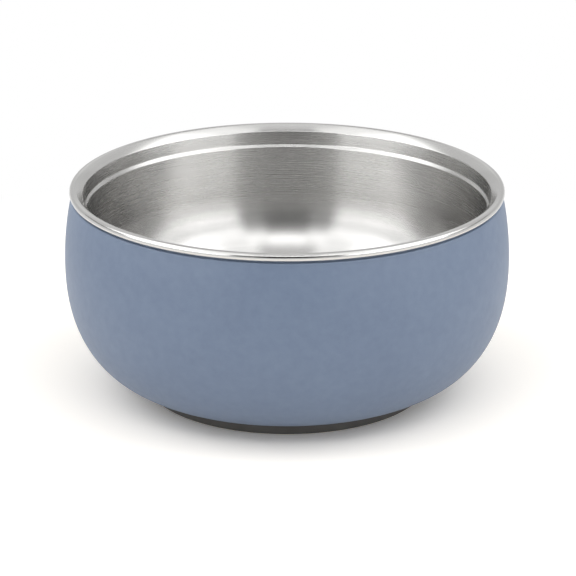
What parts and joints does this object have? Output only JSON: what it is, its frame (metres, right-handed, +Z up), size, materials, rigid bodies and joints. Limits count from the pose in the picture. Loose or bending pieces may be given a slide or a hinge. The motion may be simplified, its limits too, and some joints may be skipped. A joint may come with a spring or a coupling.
{
  "type": "pet bowl",
  "caption": "Double-wall insulated pet bowl: round belly with a matte blue coat, rolled steel rim, stepped steel liner and a rubber foot ring.",
  "frame": {"origin": "centre of the bowl on the surface that it stands on", "axes": "+Z up along the axis that every piece is turned about"},
  "size_m": [0.2056, 0.2056, 0.0971],
  "materials": {
    "spun_steel": "spun satin stainless steel, polished on the rolled rim",
    "blue_coat": "matte slate-blue powder coat with a fine texture",
    "pressed_steel": "plain pressed stainless steel",
    "cover_steel": "circular brushed stainless steel",
    "foil": "bright foil",
    "getter_metal": "pressed metal powder",
    "solder_glass": "fused dark solder glass",
    "adhesive_foam": "grey adhesive foam",
    "charcoal_rubber": "matte charcoal silicone rubber"
  },
  "bodies": {
    "root": {"inner_bowl": "spun_steel", "outer_shell": "blue_coat", "foil_shield": "foil", "getter_clip": "pressed_steel", "getter": "getter_metal", "base_pan": "pressed_steel", "vacuum_seal": "solder_glass", "cover_adhesive": "adhesive_foam", "base_cover": "cover_steel", "foot_ring": "charcoal_rubber"}
  },
  "joints": []
}
